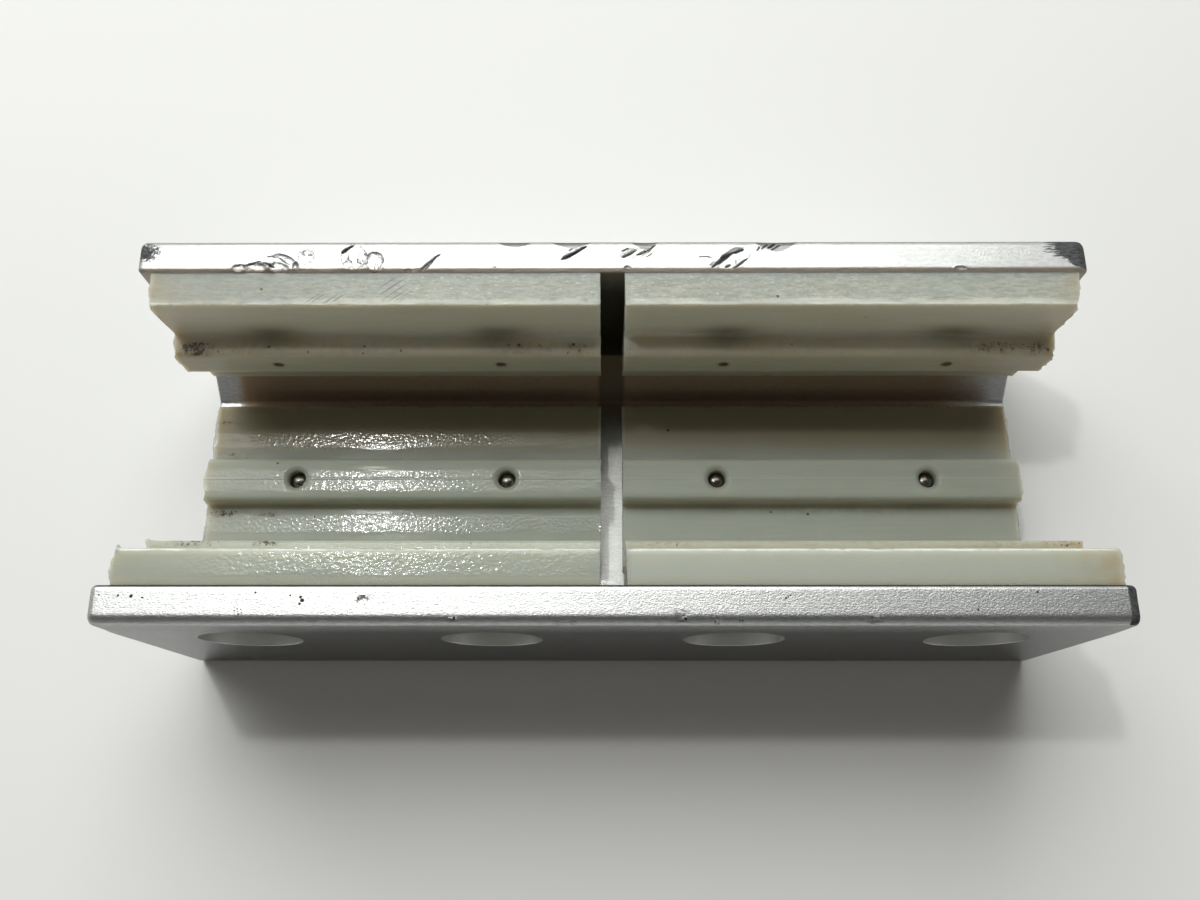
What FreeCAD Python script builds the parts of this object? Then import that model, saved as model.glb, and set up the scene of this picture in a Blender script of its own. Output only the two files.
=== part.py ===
"""Double-flange slide bearing for a T-slot rail: an aluminium channel lined with pinned plastic pads.

Millimetres. X runs along the rail, Y across the two arms, +Z out of the open side.
The origin is the middle of the web's outer face, which the bearing lies on.
"""
import FreeCAD, Part
import math
import os

# Rail that the bearing runs on
rail_width = 38.1
running_gap = 0.5

# Holes in the web and in each arm, which the pads plug into
hole_diameter = 15.875
hole_pitch = 38.1
hole_end_distance = 19.05
holes_per_pad = 2

# Channel body
arm_thickness = 5.85
web_thickness = 6.0
tip_overhang = 0.55
tip_outer_radius = 1.6
tip_inner_radius = 0.8
heel_radius = 1.6
corner_clearance = 2.65
corner_blend = 1.2

# Pads, each narrower than the rail's face by a margin along both edges
pad_margin = 3.55
pad_thickness = 5.6
pad_gap = 4.0
pad_end_inset = 2.2
pad_edge_radius = 0.5
ridge_width = 8.1
ridge_draft = 0.15
ridge_height = 3.8
ridge_foot_radius = 0.8
ridge_crown_radius = 0.6
boss_length = 3.2
boss_clearance = 0.05

# Lock pins, driven in from the ridge
pin_diameter = 3.175
pin_clearance = 0.02
pin_recess = 1.2
pin_floor = 1.2
countersink_rim = 0.8
countersink_depth = 0.5

# Places worked out from the sizes above
PAD_ENDS = ("left", "right")
LENGTHWAYS = FreeCAD.Vector(1, 0, 0)
holes_per_side = holes_per_pad * len(PAD_ENDS)
body_length = (holes_per_side - 1) * hole_pitch + 2 * hole_end_distance
pad_length = (body_length - pad_gap) / 2 - pad_end_inset
pad_width = rail_width - 2 * pad_margin
seat_distance = rail_width / 2 + running_gap + pad_thickness
corner_leg = seat_distance - pad_width / 2 - corner_clearance
half_width = seat_distance + arm_thickness
ridge_axis_z = web_thickness + seat_distance
body_height = ridge_axis_z + pad_width / 2 + tip_overhang
crown_z = pad_thickness + ridge_height
pin_hole_radius = pin_diameter / 2 + pin_clearance
pin_floor_z = pin_floor - boss_length


def vec(x, y, z):
    return FreeCAD.Vector(x, y, z)


def extrude_outline(outline, start, length):
    """Extrude a closed (y, z) outline along X."""
    points = [vec(start, y, z) for y, z in outline]
    face = Part.Face(Part.makePolygon(points + points[:1]))
    return face.extrude(LENGTHWAYS * length)


def lengthways_edges(solid, places):
    """Edges that run along X at the given (y, z) places."""
    found = []
    for edge in solid.Edges:
        middle = edge.CenterOfMass
        if abs(edge.BoundBox.XLength - edge.Length) > 1e-6:
            continue
        if any(math.hypot(middle.y - y, middle.z - z) < 1e-6 for y, z in places):
            found.append(edge)
    return found


def both_sides(y, z):
    return [(-y, z), (y, z)]


def round_edges(solid, radius, places):
    return solid.makeFillet(radius, lengthways_edges(solid, places))


def hole_places():
    """X of every hole along the body, from the left end."""
    first = -body_length / 2 + hole_end_distance
    return [first + number * hole_pitch for number in range(holes_per_side)]


def pad_hole_places(index):
    """X of the holes that one pad plugs into."""
    first = index * holes_per_pad
    return hole_places()[first:first + holes_per_pad]


def make_body():
    """Channel extrusion with 45 degree inside corners, drilled through the web and both arms."""
    inner_y = seat_distance
    outline = [
        (-half_width, 0),
        (half_width, 0),
        (half_width, body_height),
        (inner_y, body_height),
        (inner_y, web_thickness + corner_leg),
        (inner_y - corner_leg, web_thickness),
        (corner_leg - inner_y, web_thickness),
        (-inner_y, web_thickness + corner_leg),
        (-inner_y, body_height),
        (-half_width, body_height),
    ]
    body = extrude_outline(outline, -body_length / 2, body_length)
    corner_ends = both_sides(inner_y, web_thickness + corner_leg)
    corner_ends += both_sides(inner_y - corner_leg, web_thickness)
    body = round_edges(body, corner_blend, corner_ends)
    body = round_edges(body, heel_radius, both_sides(half_width, 0))
    body = round_edges(body, tip_outer_radius, both_sides(half_width, body_height))
    body = round_edges(body, tip_inner_radius, both_sides(inner_y, body_height))

    radius = hole_diameter / 2
    drills = []
    for x in hole_places():
        drills.append(Part.makeCylinder(radius, web_thickness, vec(x, 0, 0), vec(0, 0, 1)))
        across = vec(x, -half_width, ridge_axis_z)
        drills.append(Part.makeCylinder(radius, 2 * half_width, across, vec(0, 1, 0)))
    return body.cut(drills)


def make_boss(x):
    """Round boss on a pad's back that plugs into a hole of the channel."""
    return Part.makeCylinder(hole_diameter / 2 - boss_clearance, boss_length, vec(x, 0, -boss_length))


def make_pin_hole(x):
    """Blind hole for a lock pin, countersunk in the ridge's crown."""
    bore = Part.makeCylinder(pin_hole_radius, crown_z - pin_floor_z, vec(x, 0, pin_floor_z))
    mouth_radius = pin_hole_radius + countersink_rim
    sink_start = vec(x, 0, crown_z - countersink_depth)
    sink = Part.makeCone(pin_hole_radius, mouth_radius, countersink_depth, sink_start)
    return [bore, sink]


def make_pad(index):
    """One pad, lying with its back on z = 0 and its ridge upwards."""
    start = -body_length / 2 + pad_end_inset + index * (pad_length + pad_gap)
    edge_y = pad_width / 2
    foot_y = ridge_width / 2
    crown_y = foot_y - ridge_draft
    outline = [
        (-edge_y, 0),
        (edge_y, 0),
        (edge_y, pad_thickness),
        (foot_y, pad_thickness),
        (crown_y, crown_z),
        (-crown_y, crown_z),
        (-foot_y, pad_thickness),
        (-edge_y, pad_thickness),
    ]
    pad = extrude_outline(outline, start, pad_length)
    pad = round_edges(pad, ridge_foot_radius, both_sides(foot_y, pad_thickness))
    pad = round_edges(pad, ridge_crown_radius, both_sides(crown_y, crown_z))
    pad = round_edges(pad, pad_edge_radius, both_sides(edge_y, pad_thickness))
    bosses = []
    pin_holes = []
    for x in pad_hole_places(index):
        bosses.append(make_boss(x))
        pin_holes += make_pin_hole(x)
    return pad.fuse(bosses).removeSplitter().cut(pin_holes)


def make_pin(x):
    """Lock pin that fills its hole up to a recess below the crown."""
    return Part.makeCylinder(pin_diameter / 2, crown_z - pin_recess - pin_floor_z, vec(x, 0, pin_floor_z))


def make_pins(index):
    return Part.makeCompound([make_pin(x) for x in pad_hole_places(index)])


def seat(shape, tilt, place):
    """Turn a pad or its pins about X and set its back on a face of the channel."""
    seated = shape.copy()
    seated.rotate(vec(0, 0, 0), LENGTHWAYS, tilt)
    seated.translate(place)
    return seated


SEATS = {
    "web": (0, vec(0, 0, web_thickness)),
    "front": (-90, vec(0, -seat_distance, ridge_axis_z)),
    "rear": (90, vec(0, seat_distance, ridge_axis_z)),
}

nodes = {"channel_body": make_body()}
for index, end in enumerate(PAD_ENDS):
    flat_pad = make_pad(index)
    flat_pins = make_pins(index)
    for side, (tilt, place) in SEATS.items():
        nodes[f"{side}_pad_{end}"] = seat(flat_pad, tilt, place)
        nodes[f"{side}_pins_{end}"] = seat(flat_pins, tilt, place)

os.makedirs("parts", exist_ok=True)
for name, shape in nodes.items():
    shape.exportStep(f"parts/{name}.step")
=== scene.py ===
"""Looks of a double-flange slide bearing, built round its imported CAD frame.

Lengths are in millimetres until a mesh is made. X runs along the rail, -Y is the near arm,
+Z is the open side. A pad is made lying flat, at (along, across, height), then turned to its side.
"""
import itertools
import math
from functools import partialmethod

import bpy
import numpy as np
from mathutils import Matrix, Vector


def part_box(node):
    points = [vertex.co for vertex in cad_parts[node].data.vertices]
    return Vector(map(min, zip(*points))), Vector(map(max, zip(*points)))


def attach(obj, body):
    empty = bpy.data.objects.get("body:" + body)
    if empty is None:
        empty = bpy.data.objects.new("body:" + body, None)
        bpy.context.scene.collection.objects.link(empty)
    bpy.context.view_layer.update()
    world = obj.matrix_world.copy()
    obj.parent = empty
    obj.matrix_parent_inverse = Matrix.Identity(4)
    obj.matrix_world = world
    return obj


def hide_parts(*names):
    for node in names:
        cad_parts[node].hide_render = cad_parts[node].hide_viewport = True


MM = 0.001
ENDS = ("left", "right")

# Camera, fitted to the photograph's own 1200 pixel width
PHOTO_WIDTH = 1200
FOCAL_PIXELS = 1055.75
SENSOR_WIDTH = 36.0
CAMERA_PLACE = (-1.33, -53.08, 198.96)
CAMERA_TURNS = (17.67, 0.24, -0.03)
NEAREST_SEEN = 0.005

# Sizes that the frame's boxes don't give
HOLE_RADIUS = 15.875 / 2
HOLE_EDGE_BREAK = 0.05
PAD_BASE = 5.6
RIDGE_HEIGHT = 3.8
PAD_HEIGHT = PAD_BASE + RIDGE_HEIGHT
RIDGE_HALF_WIDTH = 4.05
BOSS_LENGTH = 3.2
BOSS_CLEARANCE = 0.05
PIN_CLEARANCE = 0.02
PIN_FLOOR = -2.0
COUNTERSINK_RIM = 0.8
COUNTERSINK_DEPTH = 0.5
CLOSED_FROM = 8.3
CLOSED_TAPER = 0.3
CLOSED_RADIUS = 0.85

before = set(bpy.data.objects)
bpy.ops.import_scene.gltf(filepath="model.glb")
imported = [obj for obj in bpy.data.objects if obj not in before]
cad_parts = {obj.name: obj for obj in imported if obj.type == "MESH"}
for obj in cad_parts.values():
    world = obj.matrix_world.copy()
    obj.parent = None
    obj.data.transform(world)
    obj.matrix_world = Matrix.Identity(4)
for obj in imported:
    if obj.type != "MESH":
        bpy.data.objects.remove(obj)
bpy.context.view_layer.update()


def box_mm(node):
    """Lowest and highest corners of a CAD node in millimetres."""
    return [np.array(corner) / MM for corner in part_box(node)]


body_low, body_high = box_mm("channel_body")
web_pad_high = box_mm("web_pad_left")[1]
front_pad_low, front_pad_high = box_mm("front_pad_left")
web_face = web_pad_high[2] - PAD_HEIGHT
seat_distance = PAD_HEIGHT - front_pad_high[1]
ridge_axis = (front_pad_low[2] + front_pad_high[2]) / 2
tip_z = body_high[2]


def hole_places(end):
    """X of the two holes behind the pads at one end, from the pins that stand in them."""
    low, high = box_mm(f"web_pins_{end}")
    radius = (high[1] - low[1]) / 2
    return [low[0] + radius, high[0] - radius]


pin_low, pin_high = box_mm("web_pins_left")
pin_radius = (pin_high[1] - pin_low[1]) / 2
every_hole = [x for end in ENDS for x in hole_places(end)]


# Noise, the same in every run
def lattice_value(cells, seed):
    """A random number from -1 to 1 for every whole-numbered cell."""
    x, y, z = (cells[..., axis].astype(np.uint32) for axis in range(3))
    mixed = x * np.uint32(374761393) + y * np.uint32(668265263) + z * np.uint32(2246822519)
    mixed = mixed + np.uint32(seed * 97531 % 2**32)
    mixed = (mixed ^ (mixed >> np.uint32(13))) * np.uint32(1274126177)
    mixed = mixed ^ (mixed >> np.uint32(16))
    return mixed / 2.0**31 - 1


def noise(points, cell, seed):
    """Smooth noise from -1 to 1 with features about one cell wide."""
    scaled = np.asarray(points, float) / cell
    base = np.floor(scaled).astype(np.int64)
    part = scaled - base
    blend = part * part * (3 - 2 * part)
    total = 0
    for corner in itertools.product((0, 1), repeat=3):
        weight = np.prod(np.where(corner, blend, 1 - blend), axis=-1)
        total = total + weight * lattice_value(base + corner, seed)
    return total


def rough_noise(points, cell, seed, octaves=3):
    """Noise with finer and weaker octaves added."""
    total = 0
    for octave in range(octaves):
        total = total + noise(points, cell / 2**octave, seed + octave) / 2**octave
    return total / (2 - 2.0 ** (1 - octaves))


def rise(value, low, high):
    """0 up to the low value, 1 from the high one on, and smooth between."""
    part = np.clip((value - low) / (high - low), 0, 1)
    return part * part * (3 - 2 * part)


def fall(value, low, high):
    """1 up to the low value, 0 from the high one on, and smooth between."""
    return 1 - rise(value, low, high)


# Sections and meshes
def section_loop(node):
    """The (y, z) outline of a CAD node's left end, anticlockwise seen from +X."""
    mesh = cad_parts[node].data
    points = np.array([vertex.co for vertex in mesh.vertices]) / MM
    at_end = np.abs(points[:, 0] - points[:, 0].min()) < 1e-3
    keys = [tuple(place) for place in np.round(points[:, 1:], 3)]
    edges = set()
    for polygon in mesh.polygons:
        corners = list(polygon.vertices)
        if not at_end[corners].all():
            continue
        for first, second in zip(corners, corners[1:] + corners[:1]):
            edges.add((keys[first], keys[second]))
    following = {first: second for first, second in edges if (second, first) not in edges}
    loop = [min(following)]
    while following[loop[-1]] != loop[0]:
        loop.append(following[loop[-1]])
    loop = np.array(loop)
    ahead = np.roll(loop, -1, axis=0)
    area = np.sum(loop[:, 0] * ahead[:, 1] - ahead[:, 0] * loop[:, 1])
    return loop if area > 0 else loop[::-1]


def refine(loop, step_at):
    """Splits an outline's edges so that none is longer than the step at its middle."""
    points = []
    for start, end in zip(loop, np.roll(loop, -1, axis=0)):
        pieces = max(1, math.ceil(np.linalg.norm(end - start) / step_at((start + end) / 2)))
        points += [start + (end - start) * number / pieces for number in range(pieces)]
    return np.array(points)


def outward(loop):
    """Unit normals of an anticlockwise outline, at its points."""
    along = np.roll(loop, -1, axis=0) - np.roll(loop, 1, axis=0)
    normal = np.stack([along[:, 1], -along[:, 0]], axis=1)
    return normal / np.linalg.norm(normal, axis=1, keepdims=True)


def sweep(section, stations):
    """Points of a section repeated at each X station: (station, section point, xyz)."""
    grid = np.empty((len(stations), len(section), 3))
    grid[..., 0] = stations[:, None]
    grid[..., 1:] = section
    return grid


def tube_faces(rows, columns):
    """Outward quads between the rows of a closed tube of points."""
    faces = []
    for row in range(rows - 1):
        low = row * columns
        for column in range(columns):
            beside = (column + 1) % columns
            faces.append((low + column, low + beside, low + columns + beside, low + columns + column))
    return faces


def capped_faces(rows, columns):
    """The same with a flat cap on both ends."""
    last = (rows - 1) * columns
    caps = [tuple(reversed(range(columns))), tuple(range(last, last + columns))]
    return tube_faces(rows, columns) + caps


def add_object(name, data):
    thing = bpy.data.objects.new(name, data)
    bpy.context.scene.collection.objects.link(thing)
    return thing


def make_object(name, points, faces):
    mesh = bpy.data.meshes.new(name)
    mesh.from_pydata((np.asarray(points).reshape(-1, 3) * MM).tolist(), [], faces)
    return add_object(name, mesh)


UPRIGHT = Matrix.Identity(4)


def lathe(name, profile, place, turn=UPRIGHT, segments=96):
    """A solid of revolution from (radius, height) points, low to high, then turned and placed."""
    angles = np.arange(segments) * 2 * math.pi / segments
    circle = [(math.cos(angle), math.sin(angle)) for angle in angles]
    rings = [[(radius * x, radius * y, height) for x, y in circle] for radius, height in profile]
    turned = np.array(rings).reshape(-1, 3) @ np.array(turn.to_3x3()).T + place
    return make_object(name, turned, capped_faces(len(profile), segments))


def combine(piece, others, operation):
    """Joins closed solids to a piece, or cuts them from it, and removes them."""
    for other in others:
        modifier = piece.modifiers.new(other.name, "BOOLEAN")
        modifier.operation = operation
        modifier.solver = "MANIFOLD"
        modifier.object = other
    bpy.context.view_layer.update()
    made = piece.evaluated_get(bpy.context.evaluated_depsgraph_get())
    mesh = bpy.data.meshes.new_from_object(made)
    piece.modifiers.clear()
    piece.data = mesh
    for other in others:
        bpy.data.objects.remove(other)


def points_of(piece):
    """A piece's vertices in millimetres."""
    flat = np.empty(len(piece.data.vertices) * 3)
    piece.data.vertices.foreach_get("co", flat)
    return flat.reshape(-1, 3) / MM


def store(piece, marks):
    """Keeps numbers or places on a piece's vertices, by name, for a material to read."""
    for name, values in marks.items():
        values = np.asarray(values, np.float32)
        kind, field = ("FLOAT", "value") if values.ndim == 1 else ("FLOAT_VECTOR", "vector")
        layer = piece.data.attributes.new(name, kind, "POINT")
        layer.data.foreach_set(field, values.ravel())


def shade(piece, sharp_angle):
    piece.data.shade_smooth()
    piece.data.set_sharp_from_angle(angle=math.radians(sharp_angle))


# Channel body
FAR_TIP_STEP = 0.14
NEAR_TIP_STEP = 0.4
FLAT_STEP = 8.0
STRUCK_STATION_STEP = 0.18
PLAIN_STATION_STEP = 0.7
TIP_DEPTH = 2.6
TIP_ROUND = 1.6
END_BREAK = 0.3
TIP_END_BREAK = 1.0
BEVEL_LENGTH = 1.7
BEVEL_DROP = 0.75
# Raised rim of a dent, as shares of its depth and size
RIM_RISE = 0.28
RIM_PLACE = 1.12
RIM_WIDTH = 0.18
# Dents in the far arm's tip: x, y, half length, half width, turn, depth, crumple
FAR_DENTS = [
    (-59.8, 25.9, 1, 0.6, 0, 0.3, 0.3), (-57.2, 25.8, 1.9, 0.9, 10, 0.4, 0.4),
    (-53.4, 25.9, 1.6, 0.9, -10, 0.4, 0.4), (-52.6, 27, 2.2, 1.1, -25, 0.3, 0.25),
    (-50.8, 26.3, 0.5, 0.6, 0, 0.35, 0.3), (-49.1, 27.8, 1.4, 1.3, 0, 0.14, 0.5),
    (-41.5, 27.7, 2.1, 2.2, 0, 0.2, 0.6), (-38.2, 27, 1.5, 1.6, 0, 0.32, 0.6),
    (-32.8, 25.4, 0.6, 0.3, 10, 0.3, 0.3), (-18.9, 25.9, 0.25, 0.2, 0, 0.2, 0.2),
    (-5.8, 28.3, 2.7, 1.3, 32, 0.12, 0.2), (2.4, 25.9, 0.6, 0.25, 0, 0.35, 0.2),
    (4, 28.2, 3.2, 1.3, 16, 0.14, 0.2), (19.2, 27.3, 2.8, 1.5, 40, 0.18, 0.4),
    (55.4, 25.7, 0.9, 0.35, 0, 0.35, 0.3),
]
# Bites out of the far arm's outer edge: x, half length, reach
FAR_BITES = [(-15.7, 2.7, 1.2), (-6.6, 3.3, 1.3), (5.2, 2.2, 1.5), (26.3, 3.5, 1.9)]
BITE_EDGE = 30.4
BITE_SLOPE = 0.1
# Slashes across the far arm's tip: from x, y to x, y, then half width and depth
FAR_SLASHES = [
    (-60.6, 26.1, -59.5, 26.5, 0.15, 0.1), (-59.1, 26.1, -56.3, 27.1, 0.26, 0.2),
    (-56.1, 26.9, -54.2, 26, 0.28, 0.25), (-55.6, 27.9, -53.8, 27.8, 0.15, 0.1),
    (-53.8, 27.8, -51.6, 26.4, 0.18, 0.1), (-43.6, 28.4, -42.5, 29.4, 0.38, 0.3),
    (-42.6, 29.3, -41.6, 29.9, 0.22, 0.2), (-30.8, 25.4, -27.7, 28.3, 0.3, 0.3),
    (-30.1, 25.4, -28.6, 27, 0.16, 0.2), (-8.3, 27.2, -4.1, 29.7, 0.32, 0.45),
    (-7.2, 28.7, -6.3, 29.3, 0.12, 0.15), (-7.8, 27.1, -6.1, 28.3, 0.12, 0.12),
    (1.5, 27.6, 3.9, 29, 0.24, 0.3), (1.4, 28.6, 2.7, 29.4, 0.2, 0.2),
    (3.8, 28.1, 5.8, 28.9, 0.22, 0.3), (5.6, 28.8, 6.9, 29.8, 0.18, 0.3),
    (4.6, 27.8, 6.4, 29.1, 0.12, 0.12), (5.4, 27.7, 7, 29, 0.12, 0.12),
    (13.5, 27.7, 16, 27.65, 0.13, 0.15), (15.8, 25.8, 19.2, 28.5, 0.42, 0.4),
    (19, 28.4, 21.1, 29.1, 0.3, 0.3), (17.2, 27.4, 18.3, 28.2, 0.24, 0.3),
    (15.1, 25.9, 16.3, 26.9, 0.13, 0.12), (18, 25.9, 18.9, 26.4, 0.28, 0.35),
    (19.2, 25.6, 21.6, 27.4, 0.32, 0.25), (23.3, 28.8, 23.7, 29.6, 0.18, 0.2),
    (23.9, 29.1, 25, 30.1, 0.18, 0.25), (24.9, 29.3, 26.2, 30.2, 0.25, 0.35),
    (25.5, 28.9, 27.1, 30.1, 0.14, 0.2),
]
# Nicks in the near arm's tip, with the same seven numbers
NEAR_DENTS = [
    (-45, -27.5, 0.45, 0.55, 0, 0.12, 0), (-36.3, -27.5, 0.85, 0.75, 0, 0.22, 0.5),
    (-23, -30.1, 0.5, 0.25, 40, 0.3, 0.2), (9.9, -29.9, 0.5, 0.7, 30, 0.35, 0.3),
    (14.9, -30.5, 0.35, 0.5, 0, 0.3, 0.2), (-7, -30.9, 1.4, 0.35, 0, 0.4, 0.3),
    (-42, -30.6, 0.8, 0.3, 0, 0.12, 0.3), (37.4, -30.3, 0.9, 0.35, 10, 0.25, 0.3),
]
# Dark specks on the near arm's tip: x, y, radius
NEAR_SPECKS = [
    (-74.6, -26.7, 0.14), (-71.8, -26.8, 0.17), (-69.9, -26.9, 0.25),
    (-68.2, -27.1, 0.15), (-60.5, -26.8, 0.11), (-54.7, -29, 0.1),
    (-54.3, -28.7, 0.09), (-53.8, -28.8, 0.1), (-53.6, -29.3, 0.1),
    (-54.1, -29.5, 0.1), (-54.6, -29.4, 0.08), (-54.2, -29.1, 0.07),
    (-51.9, -26.4, 0.17), (-46.8, -26.8, 0.14), (-45.3, -27, 0.22),
    (-45, -27.5, 0.3), (-45.3, -28, 0.22), (-38, -28.8, 0.11),
    (-36.9, -27.3, 0.16), (-36.6, -27.9, 0.16), (-36, -28.1, 0.14),
    (-23, -30.1, 0.25), (10, -29.7, 0.28), (10.3, -30.2, 0.22),
    (14.8, -30.5, 0.2), (18.1, -30.4, 0.13), (18.5, -30.4, 0.15),
    (24.9, -27.2, 0.12), (25.2, -27, 0.14), (25.5, -26.8, 0.12),
    (52.4, -28.8, 0.18), (61.2, -26.3, 0.22),
]


def tip_height(y):
    """Height of an arm's tip, which is rounded off on its outer side."""
    past = max(0.0, abs(y) - body_high[1] + TIP_ROUND)
    return tip_z - TIP_ROUND + math.sqrt(TIP_ROUND**2 - past**2)


def crater(points, x, y, half_length, half_width, turn, depth, crumple, seed):
    """Depth of a struck hollow with a raised rim, the painted shade in its cracks, and where its
    crumpled floor and rim are painted shaded.
    """
    angle = math.radians(turn)
    dx = points[..., 0] - x
    dy = points[..., 1] - y
    along = (dx * math.cos(angle) + dy * math.sin(angle)) / half_length
    across = (dy * math.cos(angle) - dx * math.sin(angle)) / half_width
    radius = np.hypot(along, across) + 0.22 * crumple * noise(points, 0.9, seed)
    bowl = np.maximum(1 - radius**2, 0) ** 0.6
    ripples = 0.6 * rough_noise(points, 1.1, seed + 7) + 0.3 * noise(points, 0.45, seed + 9)
    rim = RIM_RISE * np.exp(-(((radius - RIM_PLACE) / RIM_WIDTH) ** 2))
    cracks = fall(np.abs(noise(points, 0.6, seed + 13)), 0.04, 0.24)
    cracks = cracks * rise(noise(points, 0.9, seed + 15), -0.25, 0.35)
    dark = np.minimum(2 * bowl, 1) * cracks * min(1.7 * crumple, 1.0)
    ring = np.exp(-(((radius - 1) / 0.16) ** 2))
    # Where the crumpled floor and the rim get painted shade
    crumpled = (crumple > 0.45) * np.maximum(0.55 * fall(radius, 0.85, 1.1), 0.95 * ring)
    return depth * (bowl * (1 + crumple * ripples) - rim), dark, crumpled


def bite(points, x, half_length, reach):
    """Depth of a slanting cut off the tip's outer edge, deepest at its middle."""
    depth = 1 - ((points[..., 0] - x) / half_length) ** 2
    boundary = BITE_EDGE - reach * np.maximum(depth, 0) + 0.12 * noise(points, 0.7, 5)
    return BITE_SLOPE * np.maximum(points[..., 1] - boundary, 0) * (depth > 0)


def slash(points, x, y, end_x, end_y, half_width, depth):
    """Depth of a groove that is pointed at both ends, and the painted shade in it."""
    run = math.hypot(end_x - x, end_y - y)
    step_x = (end_x - x) / run
    step_y = (end_y - y) / run
    dx = points[..., 0] - x
    dy = points[..., 1] - y
    share = (dx * step_x + dy * step_y) / run
    away = np.abs(dy * step_x - dx * step_y + 0.1 * noise(points, 0.6, 9))
    width = half_width * np.sqrt(np.maximum(4 * share * (1 - share), 1e-9))
    inside = np.clip(1 - away / width, 0, 1) * (share > 0) * (share < 1)
    return depth * inside, rise(inside, 0.0, 0.45)


def tip_wear(points):
    """How far blows press the arms' tips down, the painted shade in the cuts and cracks, and where
    crumpled craters are painted shaded.
    """
    depth, dark, crumpled = np.zeros((3, *points.shape[:-1]))
    for number, dent in enumerate(FAR_DENTS + NEAR_DENTS):
        near = np.abs(points[..., 0] - dent[0]) < 2 * max(dent[2], dent[3])
        near &= np.sign(points[..., 1]) == np.sign(dent[1])
        struck, groove_shade, crumple_shade = crater(points[near], *dent, seed=number)
        depth[near] += struck
        dark[near] = np.maximum(dark[near], groove_shade)
        crumpled[near] = np.maximum(crumpled[near], crumple_shade)
    far = points[..., 1] > 0
    for cut in FAR_BITES:
        near = far & (np.abs(points[..., 0] - cut[0]) < cut[1])
        depth[near] = np.maximum(depth[near], bite(points[near], *cut))
    for cut in FAR_SLASHES:
        near = far & (points[..., 0] > cut[0] - 1) & (points[..., 0] < cut[2] + 1)
        struck, groove_shade = slash(points[near], *cut)
        depth[near] += struck
        dark[near] = np.maximum(dark[near], groove_shade)
    return depth, dark, crumpled


def end_bevel(points):
    """How far the arms' tips are filed down at the right-hand end."""
    past = np.clip((points[..., 0] - (body_high[0] - BEVEL_LENGTH)) / BEVEL_LENGTH, 0, 1)
    return BEVEL_DROP * past**1.3 * (1 + 0.15 * noise(points, 1.5, 61))


def body_step(place):
    """Longest edge allowed at a (y, z) place of the section."""
    if place[1] < tip_z - TIP_DEPTH:
        return FLAT_STEP
    return FAR_TIP_STEP if place[0] > 0 and place[1] > tip_z - 0.9 else NEAR_TIP_STEP


def body_stations():
    """X stations, closer together over blows and where the ends are rounded off."""
    ends = TIP_END_BREAK * np.array([0, 0.04, 0.15, 0.32, 0.5, 0.75, 1.0])
    stations = list(body_low[0] + ends)
    last = body_high[0] - ends[-1]
    while stations[-1] < last - PLAIN_STATION_STEP:
        x = stations[-1]
        struck = any(abs(x - dent[0]) < 1.2 * dent[2] + 0.5 for dent in FAR_DENTS)
        struck = struck or any(cut[0] - 0.3 < x < cut[2] + 0.1 for cut in FAR_SLASHES)
        struck = struck or any(abs(x - cut[0]) < cut[1] + 0.2 for cut in FAR_BITES)
        struck = struck or x > last - BEVEL_LENGTH
        stations.append(x + (STRUCK_STATION_STEP if struck else PLAIN_STATION_STEP))
    return np.array(stations + list(body_high[0] - ends[::-1]))


def make_channel():
    """The extrusion with its struck tips, broken edges and drilled holes."""
    section = refine(section_loop("channel_body"), body_step)
    stations = body_stations()
    grid = sweep(section, stations)
    from_end = np.minimum(stations - body_low[0], body_high[0] - stations)[:, None]
    on_tip = rise(section[:, 1], tip_z - 5.0, tip_z - 1.0)
    radius = END_BREAK + (TIP_END_BREAK - END_BREAK) * on_tip
    short = np.maximum(radius - from_end, 0)
    inset = radius - np.sqrt(radius**2 - short**2)
    grid[..., 1:] -= inset[..., None] * outward(section)
    near_tip = rise(grid[..., 2], tip_z - TIP_DEPTH, tip_z - 0.4)
    grid[..., 2] -= near_tip * (tip_wear(grid)[0] + end_bevel(grid))
    channel = make_object("channel", grid, capped_faces(len(stations), len(section)))
    combine(channel, hole_cutters(), "DIFFERENCE")
    return channel


DRILL_START = 0.2
DRILL_DEPTH = 12.0


def hole_cutters():
    """Drills for the web and the arms, which break each hole's outer edge."""
    cutters = []
    profile = [
        (HOLE_RADIUS + HOLE_EDGE_BREAK + DRILL_START, -DRILL_START),
        (HOLE_RADIUS, HOLE_EDGE_BREAK),
        (HOLE_RADIUS, DRILL_DEPTH),
    ]
    outer_faces = {
        "web": (UPRIGHT, 0.0, 0.0),
        "front": (Matrix.Rotation(-math.pi / 2, 4, "X"), body_low[1], ridge_axis),
        "rear": (Matrix.Rotation(math.pi / 2, 4, "X"), body_high[1], ridge_axis),
    }
    for x, (side, (turn, y, z)) in itertools.product(every_hole, outer_faces.items()):
        cutters.append(lathe(f"drill_{side}_{x:.0f}", profile, (x, y, z), turn))
    return cutters


# Slide pads
SEATS = {
    "web": (0, (0, 0, web_face)),
    "front": (-90, (0, -seat_distance, ridge_axis)),
    "rear": (90, (0, seat_distance, ridge_axis)),
}
PAD_SEED = 200
PAD_SEED_STEP = 50
PAD_STEP = 0.38
BACK_STEP = 4.0
PAD_STATION_STEP = 0.6
CAP_RINGS = 9
PAD_HEART = np.array([0.0, 5.0])
PAD_HALF_WIDTH = (front_pad_high[2] - front_pad_low[2]) / 2
END_REACH = 4.0
FRAY_REACH = 0.8
BURR_REACH = 0.35

# A pad's outer end: how much further in it is cut than a plain pad's, how yellow it is, and how far in
OUTER_ENDS = {
    ("web", "left"): (0, 0.15, 3),
    ("web", "right"): (0, 0.1, 3),
    ("front", "left"): (0.1, 0.1, 4),
    ("front", "right"): (-0.45, 0.9, 4.5),
    ("rear", "left"): (0.1, 0.6, 3),
    ("rear", "right"): (-0.25, 0.5, 2.5),
}
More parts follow.
